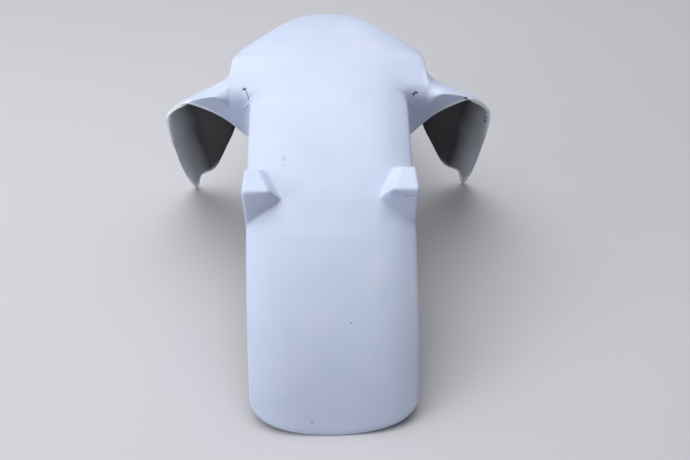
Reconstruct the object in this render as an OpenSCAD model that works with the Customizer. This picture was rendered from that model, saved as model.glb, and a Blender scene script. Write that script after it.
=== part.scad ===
// Front fender of a road motorcycle with a 17 inch front wheel.
// One moulded shell: an arch over the tyre, a wide front dome, two bolt pads and two wings that hood
// the fork legs. It rests on its rear end and on the wing tips.
// +X is to the rider's right, +Y is forward and +Z is up.

/* [Arch over the tyre] */
// Radius of the arch's outer crown from the wheel axle
arch_r = 330; // [318:1:345]
// Half width of the narrow rear section
rear_half = 71; // [68:0.5:74]
// Angle of the rear end behind the highest point of the arch
rear_angle = 67; // [62:1:69]
// Angle of the front tip ahead of the highest point
front_angle = 47; // [42:1:52]
// Thickness of the moulded wall
wall = 3; // [2.2:0.1:3.4]
// Depth of the side skirts at the fork notches
skirt = 56; // [50:1:62]
// Depth of the side skirts at the rear end
end_skirt = 24; // [22:1:28]
// Angle by which the rear end's corners are drawn forward
end_bow = 6.5; // [4:0.5:8]

/* [Front dome] */
// Half width of the dome at its shoulders
dome_half = 91; // [88:1:95]
// Half width of the front tip
tip_half = 34; // [28:1:40]
// Angle of the step between the narrow section and the dome
step_angle = 12.5; // [11:0.5:13.5]

/* [Fork wings] */
// Distance of the wings' outer sides from the centre plane
wing_half = 161; // [156:1:166]
// Drop from the arch's crown to the wing roots
root_drop = 17; // [14:1:20]
// Rake of the fork legs from the vertical
rake = 21; // [19:0.5:23]

/* [Bolt pads] */
// Angle at which the pads rise out of the arch
pad_front = 27.6; // [27:0.2:29]
// Angle of the pads' rear edge
pad_rear = 32.2; // [31.4:0.2:33]
// Distance of the pads' inner corner from the centre plane
pad_inner = 42; // [38:1:46]
// Distance by which the pads stand out beyond the narrow section
pad_out = 1; // [0:0.5:2]

/* [Bolt holes] */
// Diameter of the four bolt holes
hole_d = 6.5; // [5:0.5:8]
// Angle of the holes through the bolt pads
pad_hole_angle = 30; // [29:0.5:31]
// Angle of the holes through the fork notches
notch_hole_angle = 18; // [17:0.5:20]
// Depth of the holes below the arch's crown
hole_depth = 26; // [24:1:30]

/* [Resolution] */
// Number of spaces between the points from the centre to the free edge
columns = 21; // [16:1:22]
// Number of spaces between the rows from the fork notches to the front tip
front_spaces = 42; // [34:1:44]

/* [Hidden] */

// Fall of the rear section from its crown to its upper side corners
rear_drop = 12;
// Fall of the section from that corner's rounding to the start of the straight side
corner_fall = 6;
// Fall per length of the shoulders beyond the narrow section
shoulder_slope = 0.2;
// Dip of the crown towards the nose, and the angle over which it builds up
nose_dip = 6;
dip_angle = 25;
// Angle behind the highest point from which the rear end's corners are drawn forward
bow_start = 45;
// Distance by which a pad's foot runs inward from its front edge to its rear edge
foot_run = 12;
// Length of the pads' rear faces along the arch at the sides, in degrees, and at their inner corners
pad_face = 3.4;
foot_face = 0.5;
// Extra depth of the skirts just behind the fork notches and at their edge
tab_rise = 3;
tab_depth = 6;
// Angle at which the dome's section is wholly its own, and the angle over which the narrow section's fades
own_angle = 3;
fade_angle = 11;
// Share of the half width at which the narrow section's shoulder begins
shoulder_share = 0.93;

// The lowest edge of the rear end is the inner one, so it sets the axle's height over the resting plane.
axle_z = -(arch_r - wall) * cos(rear_angle);
// Height of the wing roots
root_z = arch_r + axle_z - root_drop;
// The bounding box is centred on the origin.
shift_y = (arch_r * sin(rear_angle) - (arch_r - nose_dip) * sin(front_angle)) / 2;

// A point of the arch: distance from the centre plane, radius from the axle, angle behind the top
function arch(x, r, a) = [x, -r * sin(a), axle_z + r * cos(a)];

// A point of the wing: share of the way out from the dome, distance ahead of the fork axis and
// share of the root's height
function wing(out, ahead, up) =
    [dome_half + out * (wing_half - dome_half),
     ahead - tan(rake) * (up * root_z - axle_z),
     up * root_z];

function mix(a, b, t) = a + (b - a) * t;
function held(t) = max(0, min(1, t));

// The foot of a pad's inner face, as a share of the half width: it runs inward towards the rear
function pad_share(a) = held((a - pad_front) / (pad_rear - pad_front));
function pad_foot(a) = mix(pad_inner + foot_run, pad_inner, pad_share(a)) / rear_half;

// Places of a row's control points across the body, as shares of the half width.
// They gather at the pad's inner face.
function shares(a) =
    let (f = pad_foot(a))
    [0, 0.4 * f, 0.75 * f, f - 0.05, f, f + 0.09, f + 0.13, (f + 1.07) / 2, 0.94, 1];

// Distance of such a place from the centre plane. The dome outgrows the narrow section only at its shoulders.
function spread(c, w) = c * min(w, rear_half) + max(0, w - rear_half) * max(0, (c - 0.7) / 0.3);

// The arch's crown radius dips a little towards the nose
function crown_r(a) = arch_r - nose_dip * pow(held(-a / dip_angle), 2);

// Fall of the section from the crown: the dome keeps the narrow section's fall at first, then gets flatter
function narrow_fall(x) =
    rear_drop * pow(min(x / rear_half, shoulder_share), 4)
    + shoulder_slope * max(0, x - shoulder_share * rear_half);
function kept(a, w) = w > rear_half ? held((a - own_angle) / fade_angle) : 0;
function fall(x, a, w, drop) = mix(drop * pow(x / w, 4), narrow_fall(x), kept(a, w));

// The body's control points from the centre line to the upper corner of its side.
// Bow draws the sides back along the arch.
function crown_point(c, a, w, drop, bow) =
    let (x = spread(c, w))
    arch(x, crown_r(a) - fall(x, a, w, drop), a - bow * (0.4 * pow(c, 2) + 0.25 * pow(c, 16)));
function crown(a, w, drop, bow = 0) = [for (c = shares(a)) crown_point(c, a, w, drop, bow)];

// A straight side from one control point to another, which the free edge ends
function side(from, to) = [for (t = [0 : 0.2 : 1]) mix(from, to, t)];

// A row with upright side skirts
function band(a, w, drop, deep, bow = 0) =
    let (r = crown_r(a))
    concat(crown(a, w, drop, bow),
           side(arch(w, r - drop - corner_fall, a - 0.72 * bow), arch(w, r - deep, a - bow)));

// The skirt deepens from the rear end to the fork notches. The end's corners are drawn forward in a parabola.
function rear_deep(a) = mix(skirt, end_skirt, held((a - pad_front) / (rear_angle - pad_front)));
function rear_bow(a) = end_bow * pow(held((a - bow_start) / (rear_angle - bow_start)), 2);
end_angles = [rear_angle, rear_angle - 2.2, 61.5, 58, 54, 50, 45.5, 41.5, 38.5];
notch_angles = [pad_front - 1.2, 24.5, 22, 19.5, 17];

// The bolt pads: a level top face, a slanted inner face and a rear face that runs further back at the side
pad_top = arch_r * cos(pad_front);
function pad_reach(c) = max(0, (c * rear_half - pad_inner) / (rear_half - pad_inner));
function pad_back(c, t) = pad_rear + t * mix(foot_face, pad_face, pad_reach(c));
function pad_point(c, k, a, t) =
    let (lower = arch_r - rear_drop * pow(c, 4),
         upper = max(lower, pad_top / cos(a)))
    arch(c * rear_half + (k > 6 ? pad_out * (1 - t) : 0),
         k < 5 ? lower : mix(upper, lower, t),
         t > 0 ? pad_back(c, t) : a);
function pad_band(a, t = 0) =
    let (c = shares(a),
         top = [for (k = [0 : 9]) pad_point(c[k], k, a, t)],
         low = arch(rear_half, arch_r - rear_deep(a), t > 0 ? pad_back(1, t) : a))
    concat(top, side(mix(top[9], low, 0.1), low));

pad_angles = [pad_rear, pad_rear - 0.5, (pad_rear + pad_front) / 2, pad_front + 1, pad_front];
rear_rows = concat(
    [for (a = end_angles) band(a, rear_half, rear_drop, rear_deep(a), rear_bow(a))],
    [for (t = [1, 0.88, 0.5, 0.12]) pad_band(pad_rear, t)],
    [for (a = pad_angles) pad_band(a)],
    [for (a = notch_angles) band(a, rear_half, rear_drop, rear_deep(a))]);

// Rows fanned over the fork notch, the rear lip and the hood and front panel of the wing
function fan(a, drop, points) =
    concat(crown(a, dome_half, drop), [for (p = points) wing(p[0], p[1], p[2])]);

lip_rows = [
    band(step_angle + 4.5, rear_half, rear_drop, skirt),
    band(step_angle + 2.7, rear_half, rear_drop, skirt + tab_rise),
    band(step_angle + 1.5, rear_half, rear_drop, skirt + tab_depth),
    concat(crown(step_angle + 0.9, rear_half + 1, 8), side(wing(-0.26, 49, 0.955), wing(-0.15, 50, 0.67))),
    concat(crown(step_angle + 0.6, rear_half + 5, 7), side(wing(-0.18, 49, 0.965), wing(0.04, 48, 0.8))),
    concat(crown(step_angle + 0.4, rear_half + 11, 6), side(wing(-0.09, 50, 0.975), wing(0.21, 48, 0.87))),
    concat(crown(step_angle + 0.2, rear_half + 17, 6), side(wing(-0.02, 50, 0.98), wing(0.4, 49, 0.92)))];

wing_rows = [
    fan(step_angle, 6, [[0.01, 50, 0.98], [0.12, 50, 0.985], [0.25, 50, 0.985],
        [0.38, 50, 0.975], [0.48, 50.5, 0.962], [0.58, 51, 0.95]]),
    fan(step_angle - 0.3, 6, [[0.01, 51, 0.985], [0.14, 51, 0.99], [0.3, 51, 0.985],
        [0.46, 52, 0.965], [0.62, 54, 0.935], [0.76, 57, 0.895]]),
    fan(step_angle - 0.7, 6, [[0.01, 53, 0.99], [0.15, 53, 0.995], [0.34, 54, 0.98],
        [0.55, 56, 0.945], [0.76, 60, 0.88], [0.91, 65, 0.815]]),
    fan(step_angle - 1.3, 6, [[0.01, 57, 1], [0.15, 58, 0.995], [0.38, 59, 0.97],
        [0.66, 62, 0.92], [0.9, 67, 0.82], [1.01, 73, 0.735]]),
    fan(step_angle - 2.1, 5, [[0, 63, 1.01], [0.14, 64, 0.99], [0.4, 66, 0.955],
        [0.75, 69, 0.88], [0.97, 71, 0.76], [1.01, 75, 0.65]]),
    fan(step_angle - 3.3, 5, [[0, 70, 1.02], [0.12, 70, 0.98], [0.4, 73, 0.925],
        [0.8, 75, 0.84], [1.02, 75, 0.6], [1.04, 77, 0.46]]),
    fan(step_angle - 4.1, 5, [[0, 75, 1.03], [0.12, 75, 0.97], [0.38, 77, 0.92],
        [0.77, 78, 0.845], [1.04, 77, 0.5], [1.07, 80, 0.25]]),
    fan(step_angle - 4.6, 5, [[0, 77, 1.03], [0.12, 77, 0.967], [0.37, 79, 0.915],
        [0.74, 80, 0.85], [1.02, 79, 0.4], [1.01, 85, 0]]),
    fan(step_angle - 5, 5, [[0, 78, 1.03], [0.11, 78, 0.965], [0.35, 80, 0.915],
        [0.7, 82, 0.85], [0.95, 82, 0.38], [0.91, 86, 0.02]]),
    fan(step_angle - 5.4, 5, [[0, 79, 1.03], [0.1, 79, 0.967], [0.34, 81, 0.917],
        [0.66, 84, 0.855], [0.87, 85, 0.42], [0.85, 87, 0.13]]),
    fan(step_angle - 5.9, 5, [[0, 80, 1.03], [0.1, 80, 0.967], [0.32, 82, 0.92],
        [0.61, 85, 0.865], [0.78, 88, 0.46], [0.76, 88, 0.155]]),
    fan(step_angle - 6.4, 5, [[0, 81, 1.03], [0.09, 81, 0.97], [0.29, 83, 0.927],
        [0.54, 86, 0.875], [0.66, 90, 0.51], [0.62, 89, 0.175]]),
    fan(step_angle - 7.1, 5, [[0, 84, 1.03], [0.07, 84, 0.98], [0.22, 84, 0.945],
        [0.4, 85, 0.895], [0.49, 88, 0.57], [0.48, 87, 0.25]]),
    fan(step_angle - 7.9, 5, [[0, 87, 1.03], [0.04, 87, 0.99], [0.14, 86, 0.96],
        [0.25, 85, 0.895], [0.29, 85, 0.69], [0.27, 84, 0.44]]),
    fan(step_angle - 8.9, 5, [[0, 91, 1.03], [0.02, 91, 0.99], [0.06, 90, 0.965],
        [0.11, 88, 0.9], [0.13, 86, 0.76], [0.1, 82, 0.59]])];

// Rows from the wings to the front tip. The nose narrows from the shoulders and dips a little.
front_rows = [
    band(2.2, dome_half, 10, 58),
    band(-1.5, dome_half - 1, 16, 56),
    band(-5.5, dome_half - 8, 21, 54),
    band(-10, mix(dome_half, tip_half, 0.32), 24, 52),
    band(-15.5, mix(dome_half, tip_half, 0.5), 28, 49),
    band(-22, mix(dome_half, tip_half, 0.66), 29, 46),
    band(-29, mix(dome_half, tip_half, 0.8), 27, 42),
    band(-36, mix(dome_half, tip_half, 0.91), 23, 36),
    band(5 - front_angle, tip_half + 2, 15, 30, -5),
    band(-front_angle, tip_half, 10, 26, -7.5)];

control = concat(lip_rows, wing_rows, front_rows);

// A clamped quadratic spline through a list of control points, at t from 0 to 1
function spline(p, t) =
    let (n = len(p) - 2,
         k = min(n - 1, floor(t * n)),
         u = t * n - k,
         a = k == 0 ? p[0] : (p[k] + p[k + 1]) / 2,
         c = k == n - 1 ? p[k + 2] : (p[k + 1] + p[k + 2]) / 2)
    a * (1 - u) * (1 - u) + 2 * p[k + 1] * u * (1 - u) + c * u * u;

function sampled(row) = [for (j = [0 : columns]) spline(row, j / columns)];
function mirrored(row) = concat([for (j = [columns : -1 : 1]) [-row[j][0], row[j][1], row[j][2]]], row);

// The smooth skin as rows of points, each from the left free edge to the right one
front_half = [for (row = control) sampled(row)];
skin = concat(
    [for (row = rear_rows) mirrored(sampled(row))],
    [for (i = [1 : front_spaces])
        mirrored([for (j = [0 : columns]) spline([for (r = front_half) r[j]], i / front_spaces)])]);

rows = len(skin) - 1;
last = 2 * columns;
function at(i, j) = skin[min(rows, max(0, i))][min(last, max(0, j))];
function unit(v) = v / norm(v);
function normal(i, j) = unit(cross(at(i, j + 1) - at(i, j - 1), at(i + 1, j) - at(i - 1, j)));

inner = [for (i = [0 : rows]) [for (j = [0 : last]) at(i, j) - wall * normal(i, j)]];

// A closed shell from two grids of points
module shell(a, b) {
    n = last + 1;
    m = rows + 1;
    points = [for (g = [a, b]) for (row = g) for (p = row) p];
    function id(g, i, j) = g * n * m + i * n + j;
    function quad(p, q, r, s) = [[p, q, r], [p, r, s]];
    faces = [
        for (i = [0 : rows - 1]) for (j = [0 : last - 1])
            for (f = concat(quad(id(0, i, j), id(0, i + 1, j), id(0, i + 1, j + 1), id(0, i, j + 1)),
                            quad(id(1, i, j), id(1, i, j + 1), id(1, i + 1, j + 1), id(1, i + 1, j)))) f,
        for (i = [0 : rows - 1])
            for (f = concat(quad(id(0, i, 0), id(1, i, 0), id(1, i + 1, 0), id(0, i + 1, 0)),
                            quad(id(0, i, last), id(0, i + 1, last), id(1, i + 1, last), id(1, i, last)))) f,
        for (j = [0 : last - 1])
            for (f = concat(quad(id(0, 0, j), id(0, 0, j + 1), id(1, 0, j + 1), id(1, 0, j)),
                            quad(id(0, rows, j), id(1, rows, j), id(1, rows, j + 1), id(0, rows, j + 1)))) f];
    polyhedron(points = points, faces = faces, convexity = 10);
}

// A bore along X through both sides
module cross_hole(a) {
    p = arch(0, arch_r - hole_depth, a);
    translate(p) rotate([0, 90, 0]) cylinder(d = hole_d, h = 4 * rear_half, center = true, $fn = 32);
}

module fender() {
    color("lightsteelblue")
        translate([0, shift_y, 0])
            difference() {
                shell(skin, inner);
                cross_hole(pad_hole_angle);
                cross_hole(notch_hole_angle);
            }
}

fender();
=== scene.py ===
# %% [markdown]
# # A motorcycle's front fender in bare primer
# The object is one injection-moulded shell. It arches over the tyre, widens into a dome ahead of the fork legs and
# grows a wing on each side that hoods a leg. It has no joints. Outside it wears a thin coat of pale blue-grey primer,
# and inside the dark plastic is bare. The lesson builds that shell as one fine mesh over the plainer solid it stands
# for, and then spends its effort on the primer, the plastic and the wear.

# %% Set up
import math

import bpy
import numpy as np
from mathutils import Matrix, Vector, kdtree


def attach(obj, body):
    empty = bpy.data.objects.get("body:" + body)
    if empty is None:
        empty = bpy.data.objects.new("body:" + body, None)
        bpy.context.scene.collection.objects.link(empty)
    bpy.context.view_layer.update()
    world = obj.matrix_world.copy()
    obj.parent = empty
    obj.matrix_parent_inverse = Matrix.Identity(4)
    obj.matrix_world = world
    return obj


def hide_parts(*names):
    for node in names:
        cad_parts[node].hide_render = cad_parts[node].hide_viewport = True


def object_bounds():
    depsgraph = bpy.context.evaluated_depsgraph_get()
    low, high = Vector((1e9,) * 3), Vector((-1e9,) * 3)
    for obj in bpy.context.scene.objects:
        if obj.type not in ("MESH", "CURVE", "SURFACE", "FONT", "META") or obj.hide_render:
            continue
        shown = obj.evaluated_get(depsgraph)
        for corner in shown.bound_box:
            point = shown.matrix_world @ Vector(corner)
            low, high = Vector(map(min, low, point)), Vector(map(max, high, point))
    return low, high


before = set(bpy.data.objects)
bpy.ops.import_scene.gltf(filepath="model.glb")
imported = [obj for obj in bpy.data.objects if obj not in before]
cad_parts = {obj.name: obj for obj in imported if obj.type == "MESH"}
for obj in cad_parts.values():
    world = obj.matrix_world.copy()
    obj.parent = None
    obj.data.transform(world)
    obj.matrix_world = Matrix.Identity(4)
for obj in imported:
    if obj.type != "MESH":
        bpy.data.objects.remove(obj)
solid_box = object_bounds()
MM = 0.001
print("solid model's box in metres:", [[round(float(v), 4) for v in corner] for corner in solid_box])

# %% [markdown]
# ## The sizes that drive the form
# A fender is drawn from the wheel: its crown is an arc round the axle, and every other place is an angle on that arc
# and a distance from the centre plane. The wings follow the fork legs instead, which lean back by the rake. Sizes typed
# in at each place would be quicker to write, but a change of one would then leave the others behind. So the part's own
# sizes stand here by name, in millimetres and degrees, and the rows below start from them.

# %% Driving sizes
arch_r = 330  # the crown's radius round the wheel's axle
rear_half = 71  # half the width of the narrow rear section
rear_angle = 67  # where the rear end lies behind the highest point
front_angle = 47  # where the nose's tip lies ahead of it
wall = 3
skirt = 56  # depth of the sides at the fork notches
end_skirt = 24  # and at the rear end
end_bow = 6.5  # how far the rear end's corners are drawn forward, in degrees
bow_start = 45  # the angle from which they are
tab_rise = 3  # extra depth of the side just behind the notch
tab_depth = 6  # and at the notch's edge
rear_drop = 12  # fall of the section from its crown to its upper corner
corner_fall = 6  # and from that corner to the start of the straight side
shoulder_slope = 0.2
shoulder_share = 0.93  # share of the half width where that slope begins
nose_dip = 6  # the crown's dip towards the nose
dip_angle = 25  # the angle over which the dip builds up
dome_half = 91  # half the width of the dome at its shoulders
tip_half = 34
step_angle = 12.5  # where the narrow section gives way to the dome
own_angle = 3  # where the dome's section is wholly its own
fade_angle = 11  # the angle over which the narrow section's fades into it
wing_half = 161  # distance of the wings' outer sides from the centre plane
root_drop = 17  # drop from the crown to the wings' roots
rake = 21  # lean of the fork legs

# %% Sizes of the shoulders, the pads and the holes
shoulder_round = 15  # radius in which the dome rolls over into the notch
roll_start = 67  # distance from the centre plane where that begins
roll_width = 12
roll_back = 0.25  # shift of the rolled points along the arch, in degrees
roll_stack = 6  # extra fall for each degree behind the shoulder
pad_front = 27.6  # angle of the pads' front edge
pad_rear = 32.2  # angle of their rear edge
pad_inner = 42  # distance of the pads' inner corner from the centre plane
foot_run = 12  # how far a pad's foot runs inward from front to rear
pad_out = 1  # how far the pads stand out beyond the narrow section
pad_face = 3.4  # length of a pad's rear face at the side, in degrees
foot_face = 0.5  # and at its inner corner
hole_d = 6.5
pad_hole_angle = 30
notch_hole_angle = 18
hole_depth = 26


def cos_d(a):
    return math.cos(math.radians(a))


def sin_d(a):
    return math.sin(math.radians(a))


axle_z = -(arch_r - wall) * cos_d(rear_angle)
root_z = arch_r + axle_z - root_drop
shift_y = (arch_r * sin_d(rear_angle) - (arch_r - nose_dip) * sin_d(front_angle)) / 2
mm_per_degree = 5.7  # length of one degree along the crown
arch_length = math.radians(rear_angle + front_angle) * arch_r
print("axle height", round(axle_z, 1), "mm, arch length", round(arch_length), "mm")

# %% [markdown]
# ## Points on the arch and on the wings
# Two small maps carry the whole design. One turns a width, a radius and an angle behind the highest point into a
# place. The other turns a share of the way out from the dome, a distance ahead of the fork's axis and a share of the
# wing root's height into a place. Drawing in the part's own terms keeps the numbers short and readable.


# %% Maps
def arch(x, r, a):
    return np.array([x, shift_y - r * sin_d(a), axle_z + r * cos_d(a)])


def wing(out, ahead, up):
    z = up * root_z
    y = ahead - math.tan(math.radians(rake)) * (z - axle_z)
    return np.array([dome_half + out * (wing_half - dome_half), y + shift_y, z])


def mix(a, b, t):
    return a + (b - a) * t


def held(t):
    return max(0.0, min(1.0, t))


print("crown", arch(0, arch_r, 0).round(1), "wing root", wing(0, 50, 1).round(1))

# %% [markdown]
# ## Rows across the body
# The skin is drawn as rows of control points, like the frames of a boat. Each row runs from the centre line over the
# crown to the upper corner of the side, and then down the skirt to the free edge. A box bent and carved could give the
# same form, but its lines would wander. Here the same places across serve every row, so the lines along the arch stay
# fair. They gather where the bolt pads have their inner faces.


# %% Places across the body
def pad_share(a):
    return held((a - pad_front) / (pad_rear - pad_front))


def shares(a):
    foot = mix(pad_inner + foot_run, pad_inner, pad_share(a)) / rear_half
    return [0, 0.4 * foot, 0.75 * foot, foot - 0.05, foot, foot + 0.09, foot + 0.13, (foot + 1.07) / 2, 0.94, 1]


def crown_r(a):
    return arch_r - nose_dip * held(-a / dip_angle) ** 2


def spread(c, w):
    flare = max(0, (c - 0.7) / 0.3)  # the outer 30 percent takes up all the dome's extra width
    return c * min(w, rear_half) + max(0, w - rear_half) * flare


print("places across at the pads' rear edge:", [round(c, 2) for c in shares(pad_rear)])

# %% [markdown]
# ## The section and the rolled shoulders
# The narrow section falls slowly from its crown and then faster to its corner, and that fall fades out where the dome
# takes over. At the shoulders the dome's skin rolls over into the notch. A bevel cut afterwards would need a clean
# corner to start from, and the lip leaves none. So the outer points of the rows sink along a quarter circle, and
# behind the shoulder each row lies below the one ahead of it, which keeps them from crossing.


# %% Crown of a row
def narrow_fall(x):
    beyond = max(0, x - shoulder_share * rear_half)
    return rear_drop * min(x / rear_half, shoulder_share) ** 4 + shoulder_slope * beyond


def rolled(x, a):
    out = held((x - roll_start) / roll_width)
    ahead = held((step_angle - a) * mm_per_degree / shoulder_round)
    return out**2 * (3 - 2 * out) * (1 - math.sqrt(ahead * (2 - ahead)))


def bowed(c):
    return 0.4 * c**2 + 0.25 * c**16


def crown_point(c, a, w, drop, bow):
    x = spread(c, w)
    kept = held((a - own_angle) / fade_angle) if w > rear_half else 0
    over = rolled(x, a) if w > rear_half else 0
    behind = max(0, a - step_angle)
    fall = mix(drop * (x / w) ** 4, narrow_fall(x), kept) + over * (shoulder_round + roll_stack * behind)
    return arch(x, crown_r(a) - fall, a - over * (roll_back + behind) - bow * bowed(c))


def crown(a, w, drop, bow=0):
    return [crown_point(c, a, w, drop, bow) for c in shares(a)]


roll_degrees = shoulder_round / mm_per_degree
print("the shoulder's outer edge sinks by", shoulder_round, "mm over", round(roll_degrees, 1), "degrees")

# %% Whole rows with their sides
side_points = 6
top_bow = 0.72


def side(start, end):
    return [mix(start, end, t / (side_points - 1)) for t in range(side_points)]


def band(a, w, drop, deep, bow=0):
    top = arch(w, crown_r(a) - drop - corner_fall, a - top_bow * bow)
    return crown(a, w, drop, bow) + side(top, arch(w, crown_r(a) - deep, a - bow))


def rear_deep(a):
    return mix(skirt, end_skirt, held((a - pad_front) / (rear_angle - pad_front)))


def rear_bow(a):
    return end_bow * held((a - bow_start) / (rear_angle - bow_start)) ** 2


print("one row has", len(band(40, rear_half, rear_drop, 30)), "control points a side")

# %% [markdown]
# ## The bolt pads
# Behind the fork legs the skin rises into two pads. Each has a level top, so that a bracket sits flat, a slanted inner
# face and a steep rear face whose foot runs further back at the side. They could be separate boxes joined on, but a
# moulded pad grows out of its skin, so here the rows themselves step up and the corners come out softly rounded. In
# each row the fifth place across is the foot of the inner face and the seventh is its brow.

# %% Points of the pads
foot_place, brow_place = 4, 6
corner_share = 0.1


def pad_back(c, t):
    reach = max(0, (c * rear_half - pad_inner) / (rear_half - pad_inner))
    return pad_rear + t * mix(foot_face, pad_face, reach)


def pad_point(c, k, a, t):
    lower = arch_r - rear_drop * c**4
    upper = max(lower, arch_r * cos_d(pad_front) / cos_d(a))
    out = pad_out * (1 - t) if k > brow_place else 0
    r = mix(upper, lower, t) if k > foot_place else lower
    return arch(c * rear_half + out, r, pad_back(c, t) if t else a)


def pad_band(a, t=0):
    top = [pad_point(c, k, a, t) for k, c in enumerate(shares(a))]
    low = arch(rear_half, arch_r - rear_deep(a), pad_back(1, t) if t else a)
    return top + side(mix(top[-1], low, corner_share), low)


pad_height = arch_r * (cos_d(pad_front) / cos_d(pad_rear) - 1)
print("pads stand", round(pad_height, 1), "mm above the arch at their rear edge")

# %% Rows from the rear end to the fork notches
end_angles = [rear_angle, rear_angle - 2.5, 61.5, 58, 54, 50, 46, 43, 40.5, 38.5, 37.4]
face_steps = [1.08, 0.88, 0.5, 0.2]
pad_angles = [pad_rear - back for back in (0, 0.8, 2, 3.3)] + [pad_front + 0.6, pad_front + 0.1]
notch_angles = [pad_front - 0.15, pad_front - 0.7, 25, 22.5, 20, 18, 16.4]
rear_rows = [band(a, rear_half, rear_drop, rear_deep(a), rear_bow(a)) for a in end_angles]
rear_rows += [pad_band(pad_rear, t) for t in face_steps] + [pad_band(a) for a in pad_angles]
rear_rows += [band(a, rear_half, rear_drop, rear_deep(a)) for a in notch_angles]
print("rows behind the notch:", len(rear_rows))

# %% [markdown]
# ## The fork notch, the lip and the wing
# Ahead of the pads the side wall turns outward round the fork leg and becomes the wing's rear lip. The rows fan round
# that notch: the first still run down the narrow wall, the next run out along the lip, and the later ones cross the
# hood and hang down as the front panel, which ends in a small tail. A wing joined on as a second sheet would need its
# seam hidden. A fan of rows lets one sheet make this turn with no seam, which is how the mould makes it.


# %% Rows of the wing
def fan(a, drop, root, *points):
    return crown(a, dome_half, drop) + [wing(*root)] + [wing(*p) for p in points]


# each wing point: share of the way out, mm ahead of the fork's axis, share of the root's height
lip_rows = [
    band(step_angle + 2.7, rear_half, rear_drop, skirt + tab_rise),
    band(step_angle + 1.5, rear_half, rear_drop, skirt + tab_depth),
    crown(step_angle + 0.9, rear_half + 1, 8) + side(wing(-0.26, 49, 0.94), wing(-0.15, 50, 0.67)),
    crown(step_angle + 0.6, rear_half + 5, 7) + side(wing(-0.18, 49.5, 0.9), wing(0.04, 49.5, 0.8)),
    crown(step_angle + 0.4, rear_half + 11, 6) + side(wing(-0.09, 49.5, 0.895), wing(0.21, 49.5, 0.87)),
    crown(step_angle + 0.2, rear_half + 17, 6) + side(wing(-0.02, 49.5, 0.9), wing(0.4, 49.5, 0.92)),
]
hood_rows = [
    fan(step_angle, 6, (0.01, 50, 0.91), (0.12, 50, 0.985), (0.25, 50, 0.985),
        (0.38, 50, 0.975), (0.48, 50.5, 0.962), (0.58, 51, 0.95)),
    fan(step_angle - 0.3, 6, (0.01, 51, 0.94), (0.14, 51, 0.99), (0.3, 51, 0.985),
        (0.46, 52, 0.965), (0.62, 54, 0.935), (0.76, 57, 0.895)),
    fan(step_angle - 0.7, 6, (0.01, 53, 0.96), (0.15, 53, 0.995), (0.34, 54, 0.98),
        (0.55, 56, 0.945), (0.76, 60, 0.88), (0.91, 65, 0.815)),
    fan(step_angle - 1.3, 6, (0.01, 57, 0.98), (0.15, 58, 0.995), (0.38, 59, 0.97),
        (0.66, 62, 0.92), (0.9, 67, 0.82), (1.01, 73, 0.735)),
    fan(step_angle - 2.1, 5, (0, 63, 1.01), (0.14, 64, 0.99), (0.4, 66, 0.955),
        (0.75, 69, 0.88), (0.97, 71, 0.76), (1.01, 75, 0.65)),
    fan(step_angle - 3.3, 5, (0, 70, 1.02), (0.12, 70, 0.98), (0.4, 73, 0.925),
        (0.8, 75, 0.84), (1.02, 75, 0.6), (1.04, 77, 0.46)),
]
panel_rows = [
    fan(step_angle - 4.1, 5, (0, 75, 1.03), (0.12, 75, 0.97), (0.38, 77, 0.92),
        (0.77, 78, 0.845), (1.04, 77, 0.5), (1.07, 80, 0.25)),
    fan(step_angle - 4.6, 5, (0, 77, 1.03), (0.12, 77, 0.967), (0.37, 79, 0.915),
        (0.74, 80, 0.85), (1.02, 79, 0.4), (1.01, 85, 0)),
    fan(step_angle - 5, 5, (0, 78, 1.03), (0.11, 78, 0.965), (0.35, 80, 0.915),
        (0.7, 82, 0.85), (0.95, 82, 0.38), (0.91, 86, 0.02)),
    fan(step_angle - 5.4, 5, (0, 79, 1.03), (0.1, 79, 0.967), (0.34, 81, 0.917),
        (0.66, 84, 0.855), (0.87, 85, 0.42), (0.85, 87, 0.13)),
    fan(step_angle - 5.9, 5, (0, 80, 1.03), (0.1, 80, 0.967), (0.32, 82, 0.92),
        (0.61, 85, 0.865), (0.78, 88, 0.46), (0.76, 88, 0.155)),
    fan(step_angle - 6.4, 5, (0, 81, 1.03), (0.09, 81, 0.97), (0.29, 83, 0.927),
        (0.54, 86, 0.875), (0.66, 90, 0.51), (0.62, 89, 0.175)),
    fan(step_angle - 7.1, 5, (0, 84, 1.03), (0.07, 84, 0.98), (0.22, 84, 0.945),
        (0.4, 85, 0.895), (0.49, 88, 0.57), (0.48, 87, 0.25)),
    fan(step_angle - 7.9, 5, (0, 87, 1.03), (0.04, 87, 0.99), (0.14, 86, 0.96),
        (0.25, 85, 0.895), (0.29, 85, 0.69), (0.27, 84, 0.44)),
    fan(step_angle - 8.9, 5, (0, 91, 1.03), (0.02, 91, 0.99), (0.06, 90, 0.965),
        (0.11, 88, 0.9), (0.13, 86, 0.76), (0.1, 82, 0.59)),
]
print("rows round the notch and wing:", len(lip_rows + hood_rows + panel_rows))

# %% [markdown]
# ## The nose
# From its shoulders the dome narrows to a rounded tip, dips a little and gets rounder across. The photograph shows
# only its edge against the floor, which gives the taper; the tip beyond it is plain. Its rows are the same upright
# bands as the rear's, with the sides of the last two drawn back to round the end.


# %% Rows of the nose
def tapered(share):
    return mix(dome_half, tip_half, share)


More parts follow.
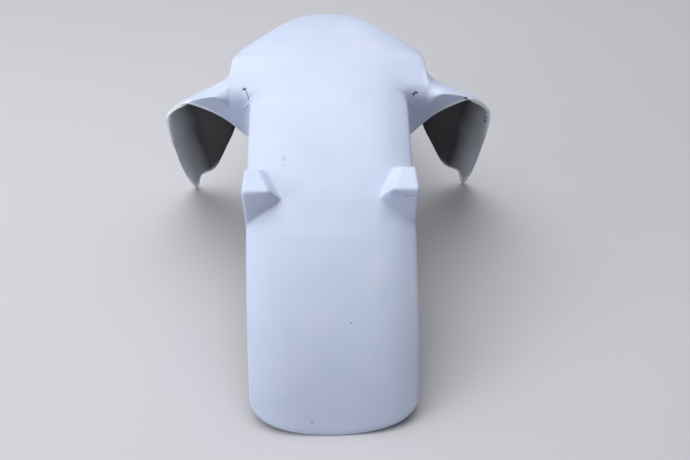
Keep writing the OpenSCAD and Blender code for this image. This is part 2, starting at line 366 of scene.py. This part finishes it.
# each band: angle, half width, fall of the section, depth of the side, bow
front_rows = [
    band(2.2, dome_half, 10, 58),
    band(-1.5, dome_half - 1, 16, 56),
    band(-5.5, dome_half - 8, 21, 54),
    band(-10, tapered(0.32), 24, 52),
    band(-15.5, tapered(0.5), 28, 49),
    band(-22, tapered(0.66), 29, 46),
    band(-29, tapered(0.8), 27, 42),
    band(-36, tapered(0.91), 23, 36),
    band(5 - front_angle, tip_half + 2, 15, 30, -5),
    band(-front_angle, tip_half, 10, 26, -7.5),
]
rows = np.array(rear_rows + lip_rows + hood_rows + panel_rows + front_rows)
print("control net:", rows.shape[0], "rows of", rows.shape[1])

# %% [markdown]
# ## From control points to a smooth skin
# A subdivision surface over the same net would do as well, but it shrinks the corners by an amount that is hard to
# foresee. A quadratic spline touches the middle of every control line, has no kinks and takes a few lines. Each span
# gets as many points as its length asks for, so the mesh is fine everywhere and wasteful nowhere.

# %% Sample the skin
step_across = 3.2
step_along = 2.5
long_lines = 80  # the percentile that stands for a span's length


def spans(count, lengths, step):
    places = []
    for k in range(count - 2):
        n = max(2, round(lengths[k] / step))
        places += [(k, i / n) for i in range(n)]
    return places + [(count - 3, 1.0)]


def spline(points, places):
    middles = (points[:-1] + points[1:]) / 2
    middles[0], middles[-1] = points[0], points[-1]
    return np.array([
        middles[k] * (1 - u) ** 2 + 2 * points[k + 1] * u * (1 - u) + middles[k + 1] * u**2
        for k, u in places])


def span_lengths(net):
    steps = np.percentile(np.linalg.norm(np.diff(net, axis=0), axis=2), long_lines, axis=1)
    return (steps[:-1] + steps[1:]) / 2


lines = rows.transpose(1, 0, 2)
across = spline(lines, spans(len(lines), span_lengths(lines), step_across))
half = spline(across.transpose(1, 0, 2), spans(len(rows), span_lengths(rows), step_along))
skin = np.concatenate([half[:, :0:-1] * [-1, 1, 1], half], axis=1)
print("skin grid:", skin.shape[:2])

# %% [markdown]
# ## Give the skin its wall
# The inner face lies one wall thickness inside the outer one, along the surface's own normals, which are evened out a
# little so that tight corners don't fold inside. Between both faces a half-round bead closes the free edge, as the
# parting line of a mould leaves it. Building both faces by hand, and not with a solidify modifier, keeps the two
# finishes on separate faces from the start.

# %% Offset the inner face
evening_rounds = 4


def normals(grid):
    along = np.gradient(grid, axis=0)
    out = np.cross(np.gradient(grid, axis=1), along)
    return out / np.linalg.norm(out, axis=2, keepdims=True)


def softened(field, times):
    for _ in range(times):
        padded = np.pad(field, ((1, 1), (1, 1), (0, 0)), mode="edge")
        field = (field + padded[2:, 1:-1] + padded[:-2, 1:-1] + padded[1:-1, 2:] + padded[1:-1, :-2]) / 5
    return field / np.linalg.norm(field, axis=2, keepdims=True)


inner = skin - wall * softened(normals(skin), evening_rounds)
last_row, last_col = skin.shape[0] - 1, skin.shape[1] - 1
edge_loop = [(0, j) for j in range(last_col)] + [(i, last_col) for i in range(last_row)]
edge_loop += [(last_row, j) for j in range(last_col, 0, -1)] + [(i, 0) for i in range(last_row, 0, -1)]
print("free edge:", len(edge_loop), "points")

# %% Round the free edge
bead_steps = 4
bead_bulge = 0.7


def inward(i, j):
    return min(max(i, 1), last_row - 1), min(max(j, 1), last_col - 1)


def bead(i, j):
    p, q = skin[i, j], inner[i, j]
    out = p - skin[inward(i, j)]
    across_wall = (p - q) / np.linalg.norm(p - q)
    out = out - across_wall * out.dot(across_wall)
    out = out / np.linalg.norm(out)
    turns = [math.pi * k / (bead_steps + 1) for k in range(1, bead_steps + 1)]
    return [(p + q) / 2 + (p - q) / 2 * math.cos(t) + out * bead_bulge * math.sin(t) for t in turns]


beads = np.array([bead(i, j) for i, j in edge_loop]).reshape(-1, 3)
points = np.concatenate([skin.reshape(-1, 3), inner.reshape(-1, 3), beads])
print("the bead stands out", bead_bulge, "mm past the skin's edge")

# %% Build the shell's mesh
per_face = skin.shape[0] * skin.shape[1]
cell = np.arange(per_face).reshape(skin.shape[:2])
a, b, c, d = cell[:-1, :-1], cell[1:, :-1], cell[1:, 1:], cell[:-1, 1:]
outer_faces = np.stack([a, d, c, b], axis=-1).reshape(-1, 4)
inner_faces = np.stack([a, b, c, d], axis=-1).reshape(-1, 4) + per_face
ladders = []
for k, (i, j) in enumerate(edge_loop):
    first = 2 * per_face + bead_steps * k
    ladders.append([cell[i, j], *range(first, first + bead_steps), cell[i, j] + per_face])
bead_faces = [
    (here[s], here[s + 1], ahead[s + 1], ahead[s])
    for here, ahead in zip(ladders, ladders[1:] + ladders[:1]) for s in range(bead_steps + 1)]
faces = outer_faces.tolist() + bead_faces + inner_faces.tolist()
mesh = bpy.data.meshes.new("fender_shell")
mesh.from_pydata((points * MM).tolist(), [], faces)
mesh.update()
shell = bpy.data.objects.new("fender_shell", mesh)
bpy.context.scene.collection.objects.link(shell)
mesh.polygons.foreach_set("use_smooth", [True] * len(mesh.polygons))
painted = len(outer_faces) + len(bead_faces)
mesh.polygons.foreach_set("material_index", [0] * painted + [1] * len(inner_faces))
print("shell:", len(points), "points,", len(faces), "faces")

# %% [markdown]
# ## Bolt holes
# Four holes go straight across, two through the pads' sides and two through the walls of the fork notches. Rings of
# the mesh could be drawn round each hole, but a boolean with a long round bar cuts both sides in line, as a drill
# would.

# %% Cut the bolt holes
drill_sides = 48
for label, angle in (("pad", pad_hole_angle), ("notch", notch_hole_angle)):
    bpy.ops.mesh.primitive_cylinder_add(
        vertices=drill_sides, radius=hole_d / 2 * MM, depth=4 * rear_half * MM,
        location=arch(0, arch_r - hole_depth, angle) * MM, rotation=(0, math.pi / 2, 0))
    bar = bpy.context.object
    cut = shell.modifiers.new(label, "BOOLEAN")
    cut.object = bar
    cut.solver = "EXACT"
    bpy.context.view_layer.objects.active = shell
    bpy.ops.object.modifier_apply(modifier=label)
    bpy.data.objects.remove(bar)
mesh = shell.data
print("after the holes:", len(mesh.polygons), "faces")

# %% [markdown]
# ## How far each point lies from the free edge
# Handling wears an edge first, and spray creeps round it onto the inside. Both need to know how near the edge a point
# is. A shader can find edges by itself only in some renderers, so that distance is stored on the mesh once, and the
# finishes read it.

# %% Measure the distance to the free edge
edge_points = [((skin[i, j] + inner[i, j]) / 2) * MM for i, j in edge_loop]
tree = kdtree.KDTree(len(edge_points))
for k, p in enumerate(edge_points):
    tree.insert(p, k)
tree.balance()
reach = [tree.find(v.co)[2] for v in mesh.vertices]
mesh.attributes.new("edge_reach", "FLOAT", "POINT").data.foreach_set("value", reach)
print("furthest point from the edge:", round(max(reach) * 1000), "mm")

# %% [markdown]
# ## The primer
# Sprayed primer is matt and even from a step away, and close up it has a faint orange peel, soft cloudy patches where
# it lies thicker or thinner, and fine dust nibs. A painted picture wrapped round the part could show them, but would
# stretch over the wings and blur close up. Noise textures in object space keep their real sizes everywhere, and a worn
# spot is a small ragged ball of colour wherever it is put.

# %% Node helpers
noise_low, noise_high = 0.3, 0.7  # most of a noise texture lies between these
ragged = 0.5  # how far a spot's outline strays, as a share of its radius
spot_edge = 0.15  # half the width of its soft edge, also as a share


class Finish:
    def __init__(self, name):
        self.material = bpy.data.materials.new(name)
        self.material.use_nodes = True
        self.tree = self.material.node_tree
        self.shader = self.tree.nodes["Principled BSDF"]
        self.place = self.add("ShaderNodeTexCoord").outputs["Object"]

    def add(self, kind, **settings):
        node = self.tree.nodes.new(kind)
        for key, value in settings.items():
            setattr(node, key, value)
        return node

    def link(self, source, target):
        self.tree.links.new(source, target)

    def noise(self, scale, detail=2.0, rough=0.5):
        node = self.add("ShaderNodeTexNoise")
        node.inputs["Scale"].default_value = scale
        node.inputs["Detail"].default_value = detail
        node.inputs["Roughness"].default_value = rough
        self.link(self.place, node.inputs["Vector"])
        return node.outputs["Fac"]

    def ramp(self, source, low, high, start=0.0, end=1.0):
        node = self.add("ShaderNodeMapRange")
        for key, value in (("From Min", low), ("From Max", high), ("To Min", start), ("To Max", end)):
            node.inputs[key].default_value = value
        self.link(source, node.inputs["Value"])
        return node.outputs["Result"]

    def varied(self, scale, detail, low, high):
        return self.ramp(self.noise(scale, detail), noise_low, noise_high, low, high)

    def calc(self, kind, a, b):
        node = self.add("ShaderNodeMath", operation=kind)
        for socket, value in zip(node.inputs, (a, b)):
            if isinstance(value, (int, float)):
                socket.default_value = value
            else:
                self.link(value, socket)
        return node.outputs[0]

    def blend(self, fac, a, b):
        node = self.add("ShaderNodeMix", data_type="RGBA")
        for socket, value in zip((node.inputs[0], node.inputs[6], node.inputs[7]), (fac, a, b)):
            if isinstance(value, tuple):
                socket.default_value = (*value, 1)
            elif isinstance(value, float):
                socket.default_value = value
            else:
                self.link(value, socket)
        return node.outputs[2]

    def outward(self):
        parts = self.add("ShaderNodeSeparateXYZ")
        self.link(self.place, parts.inputs[0])
        return self.calc("ABSOLUTE", parts.outputs["X"], 0)

    def near_edge(self, full, none, waver):
        reach = self.add("ShaderNodeAttribute", attribute_name="edge_reach").outputs["Fac"]
        return self.ramp(self.calc("ADD", reach, self.varied(90, 3, -waver, waver)), none, full)

    def spot(self, centre, radius, squash):
        apart = self.add("ShaderNodeVectorMath", operation="SUBTRACT")
        self.link(self.place, apart.inputs[0])
        apart.inputs[1].default_value = [v * MM for v in centre]
        shaped = self.add("ShaderNodeVectorMath", operation="MULTIPLY")
        self.link(apart.outputs[0], shaped.inputs[0])
        shaped.inputs[1].default_value = squash
        length = self.add("ShaderNodeVectorMath", operation="LENGTH")
        self.link(shaped.outputs[0], length.inputs[0])
        wobble = self.varied(1.6 / (radius * MM), 3, 1 - ragged, 1 + ragged)
        distance = self.calc("MULTIPLY", length.outputs["Value"], wobble)
        return self.ramp(distance, radius * MM * (1 + spot_edge), radius * MM * (1 - spot_edge))

    def mark(self, color, centre, radius, squash, tint, strength):
        mask = self.spot(centre, radius, squash)
        return self.blend(self.calc("MULTIPLY", mask, strength), color, tint)

    def bump(self, height, depth, after=None):
        node = self.add("ShaderNodeBump")
        node.inputs["Distance"].default_value = depth
        node.inputs["Strength"].default_value = 1.0
        self.link(height, node.inputs["Height"])
        if after:
            self.link(after, node.inputs["Normal"])
        return node.outputs["Normal"]


def linear(r, g, b):
    return tuple((v / 255 / 12.92) if v <= 10 else ((v / 255 + 0.055) / 1.055) ** 2.4 for v in (r, g, b))


print("helpers ready; mid primer grey is", [round(v, 3) for v in linear(200, 211, 234)])

# %% Primer outside
primer = Finish("primer")
primer_pale = linear(204, 214, 237)
primer_deep = linear(196, 207, 232)
primer_thin = linear(199, 212, 229)
nib_grey = linear(168, 178, 200)
peel_depth = 0.00006
ripple_depth = 0.0003
cloud = primer.ramp(primer.noise(14, 3, 0.6), 0.35, 0.68)
color = primer.blend(cloud, primer_pale, primer_deep)
thin = primer.ramp(primer.noise(5.5, 2), 0.55, 0.75, 0.0, 0.35)
color = primer.blend(thin, color, primer_thin)
nibs = primer.ramp(primer.noise(900, 1), 0.73, 0.78, 0.0, 0.35)
color = primer.blend(nibs, color, nib_grey)
primer.link(primer.varied(60, 4, 0.5, 0.6), primer.shader.inputs["Roughness"])
primer.shader.inputs["Specular IOR Level"].default_value = 0.4
peel = primer.bump(primer.noise(420, 2), peel_depth)
primer.link(primer.bump(primer.noise(36, 2), ripple_depth, peel), primer.shader.inputs["Normal"])
print("primer nodes so far:", len(primer.tree.nodes))

# %% [markdown]
# ## Highlit rims, nicks and stains
# The wings' rims stand out most and catch the light, so they are painted paler than the rest: a painted highlight. A
# few nicks go through the primer to the dark plastic: one with a hairline at the left shoulder, one at the right
# shoulder, and chips on the right wing's rim.
# There are also two greenish specks beside the crown, two faint pink stains, two pale scuffs and two dark specks on the
# rear end and a thin dark line across the right pad. Scattering marks at random would be less work, but these are the
# ones that the part has, so each is a squeezed ball of colour at its own place on the skin.

# %% Painted highlight on the rims
# painted highlight: the wings' rims are lightened towards a near white where light catches them
rim_painted_highlight = linear(240, 243, 250)
rim_full, rim_end = 0.0028, 0.0044
on_wing = primer.ramp(primer.outward(), 0.096, 0.112)
rim_highlight_mask = primer.near_edge(rim_full, rim_end, 0.0004)
color = primer.blend(primer.calc("MULTIPLY", rim_highlight_mask, on_wing), color, rim_painted_highlight)
print("the wings' rims are pale up to", round(rim_end / MM, 1), "mm from the edge")

# %% Marks on the primer
bare = linear(38, 38, 42)
stain_green = linear(176, 190, 184)
stain_pink = linear(226, 208, 228)
scuff_pale = linear(218, 222, 232)
thin_line = linear(92, 100, 120)
# centre in mm, radius in mm, squeeze along each axis, colour, strength
shoulder_marks = [
    ((-76.4, -27.5, 186.1), 1.1, (0.6, 1, 1), bare, 0.95),
    ((-74.6, -30.1, 184.5), 0.7, (1.2, 0.55, 0.45), bare, 0.7),
    ((-73.6, -32.3, 182.7), 0.7, (1.2, 0.5, 0.5), bare, 0.7),
    ((-72.9, -33.5, 180.3), 0.7, (1.2, 0.6, 0.4), bare, 0.6),
    ((77.7, -31.1, 180.5), 1.0, (0.8, 1, 0.8), bare, 0.95),
    ((80.0, -30.1, 181.4), 1.0, (0.6, 1, 1), bare, 0.9),
]
rim_chips = [
    ((156.1, 3.8, 131.2), 1.3, (1, 1, 0.7), bare, 0.9),
    ((157.3, 6.5, 126.0), 1.4, (1, 1, 0.6), bare, 0.9),
    ((126.3, -32.1, 176.1), 1.3, (0.7, 1, 1), bare, 0.85),
]
body_marks = [
    ((-38.6, -110.2, 167.9), 1.7, (1, 1, 1), stain_green, 0.6),
    ((-38.5, -116.2, 165.0), 1.5, (1, 1, 1), stain_green, 0.5),
    ((41.4, 26.9, 201.4), 6.0, (0.5, 1, 1), stain_pink, 0.3),
    ((36.1, -198.8, 105.4), 4.0, (1, 1, 1), stain_pink, 0.2),
    ((38.1, -187.6, 115.8), 5.0, (1, 0.6, 0.6), scuff_pale, 0.22),
    ((66.8, -198.8, 92.9), 3.5, (1, 0.6, 0.6), scuff_pale, 0.25),
    ((14.5, -220.1, 83.1), 0.7, (1, 1, 1), bare, 0.6),
    ((-18.8, -264.9, 12.7), 0.8, (1, 1, 1), bare, 0.6),
    ((63.4, -150.9, 157.8), 0.6, (0.11, 1, 1), thin_line, 0.4),
]
for mark in shoulder_marks + rim_chips + body_marks:
    color = primer.mark(color, *mark)
primer.link(color, primer.shader.inputs["Base Color"])
mesh.materials.append(primer.material)
print(len(shoulder_marks + rim_chips + body_marks), "marks, primer nodes:", len(primer.tree.nodes))

# %% [markdown]
# ## The bare plastic
# Inside, the shell is unpainted dark plastic with the fine spark texture of the mould and faint flow lines. The inner
# faces of the wings' outer sides are painted pale, a painted sheen for the light that they catch, and the outer rims
# are paler still, where primer wraps round the edge and a painted highlight lies over it. The pale could follow the
# edge alone, but it covers the whole outer side of each wing, so it follows the distance from the centre plane. The
# chips of the right rim reach round to this side.

# %% Bare plastic inside
plastic_dark = linear(28, 28, 31)
plastic_mid = linear(37, 38, 42)
outer_side_painted_sheen = linear(196, 200, 208)
rim_primer_and_highlight = linear(236, 238, 245)
spark_depth = 0.00004
plastic = Finish("bare_plastic")
flow = plastic.ramp(plastic.noise(9, 4, 0.6), 0.35, 0.7)
color = plastic.blend(flow, plastic_dark, plastic_mid)
outward = plastic.outward()
# painted sheen: the inner faces of the wings' outer sides turn pale grey with distance from the centre plane
sheen_edge_waver = plastic.varied(22, 3, -0.003, 0.003)
painted_sheen_share = plastic.ramp(plastic.calc("ADD", outward, sheen_edge_waver), 0.136, 0.162, 0.0, 0.95)
color = plastic.blend(painted_sheen_share, color, outer_side_painted_sheen)
# the outer rims inside take the primer that wraps round the edge, lightened further to a painted highlight
rim_wrap_and_highlight = plastic.near_edge(0.0028, 0.0042, 0.0005)
outer_rim = plastic.ramp(outward, 0.124, 0.145)
color = plastic.blend(plastic.calc("MULTIPLY", rim_wrap_and_highlight, outer_rim), color, rim_primer_and_highlight)
for chip in rim_chips:
    color = plastic.mark(color, *chip)
plastic.link(color, plastic.shader.inputs["Base Color"])
plastic.link(plastic.varied(70, 3, 0.42, 0.56), plastic.shader.inputs["Roughness"])
plastic.link(plastic.bump(plastic.noise(1500, 1), spark_depth), plastic.shader.inputs["Normal"])
mesh.materials.append(plastic.material)
print("plastic nodes:", len(plastic.tree.nodes))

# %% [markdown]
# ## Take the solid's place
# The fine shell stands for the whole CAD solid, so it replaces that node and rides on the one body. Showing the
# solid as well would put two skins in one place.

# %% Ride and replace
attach(shell, "root")
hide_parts("fender")
print("shell size in mm:", [round(v * 1000, 1) for v in shell.dimensions])

# %% [markdown]
# ## A plain floor
# A pale sheet under the part shows where it touches, takes its soft shadow and gives some light back to the undersides.
# A small curved sweep would do for one view. This one is flat and far wider than any view, so the part can be looked at
# from every side.

# %% Floor
floor_size = 60
bpy.ops.mesh.primitive_plane_add(size=floor_size, location=(0, 0, solid_box[0][2]))
floor = bpy.context.object
floor.name = "floor"
sheet = Finish("floor_sheet")
floor_color = sheet.blend(sheet.noise(3, 2), linear(192, 192, 198), linear(197, 197, 203))
sheet.link(floor_color, sheet.shader.inputs["Base Color"])
sheet.shader.inputs["Roughness"].default_value = 0.8
floor.data.materials.append(sheet.material)
print("floor at", floor.location.z)

# %% [markdown]
# ## Soft light
# The photograph was lit by a wide soft source above the part, a little to its left, in a room that gives back little
# light from the sides. So the crown is bright, the slope darkens slowly towards the rear end, and the faces that look
# back or down stay grey. One large lamp alone would leave the floor uneven. So a very soft sun lights all of it evenly,
# an area lamp above adds a near source, and a weak lamp low at the left reaches under the right wing's hood. The world
# fills in a little, and the camera alone sees it as a pale backdrop.


# %% Lamps
def aimed(name, light, place, target=(0, 0, 0.1)):
    holder = bpy.data.objects.new(name, light)
    holder.location = place
    holder.rotation_euler = (Vector(target) - Vector(place)).to_track_quat("-Z", "Y").to_euler()
    bpy.context.scene.collection.objects.link(holder)


def area(name, place, width, height, power):
    light = bpy.data.lights.new(name, "AREA")
    light.shape = "RECTANGLE"
    light.size, light.size_y = width, height
    light.energy = power
    aimed(name, light, place)


sky = bpy.data.lights.new("soft_sky", "SUN")
sky.energy = 1.6
sky.angle = math.radians(80)
aimed("soft_sky", sky, (-0.16, 0.27, 1.6))
area("softbox_above", (-0.35, 0.1, 1.6), 1.4, 1.4, 13)
area("side_left", (-1.5, -0.7, 0.7), 1.0, 0.8, 10)

# %% World and backdrop
world = bpy.data.worlds.new("soft_room")
bpy.context.scene.world = world
world.use_nodes = True
nodes, links = world.node_tree.nodes, world.node_tree.links
fill = nodes["Background"]
fill.inputs["Color"].default_value = (0.93, 0.95, 1.0, 1)
fill.inputs["Strength"].default_value = 0.13
backdrop = nodes.new("ShaderNodeBackground")
backdrop.inputs["Color"].default_value = (*linear(186, 186, 191), 1)
backdrop.inputs["Strength"].default_value = 1.0
ray = nodes.new("ShaderNodeLightPath")
choose = nodes.new("ShaderNodeMixShader")
links.new(ray.outputs["Is Camera Ray"], choose.inputs["Fac"])
links.new(fill.outputs["Background"], choose.inputs[1])
links.new(backdrop.outputs["Background"], choose.inputs[2])
links.new(choose.outputs["Shader"], nodes["World Output"].inputs["Surface"])
bpy.context.scene.view_settings.view_transform = "Standard"
print("world fill:", round(fill.inputs["Strength"].default_value, 2))

# %% [markdown]
# ## The camera
# The photograph was taken from behind and above, at about 41 degrees. A view can be matched by eye, but pitch and
# distance then trade off against each other. Here the pitch and the lens come from the way a straight striped mat
# narrows towards the top of the picture, and the height from the size of the arch.

# %% Camera
pitch_down = 41.5
turn = 1.6
camera_x, camera_back, camera_height = -0.00085, 0.6285, 0.515
focal_px, photo_width_px = 705, 690
sensor_mm = 36
camera_data = bpy.data.cameras.new("camera")
camera_data.sensor_width = sensor_mm
camera_data.lens = focal_px / photo_width_px * sensor_mm
camera = bpy.data.objects.new("camera", camera_data)
camera.location = (camera_x, shift_y * MM - camera_back, camera_height)
camera.rotation_euler = (math.radians(90 - pitch_down), 0, math.radians(-turn))
bpy.context.scene.collection.objects.link(camera)
bpy.context.scene.camera = camera
print("lens", round(camera_data.lens, 1), "mm")
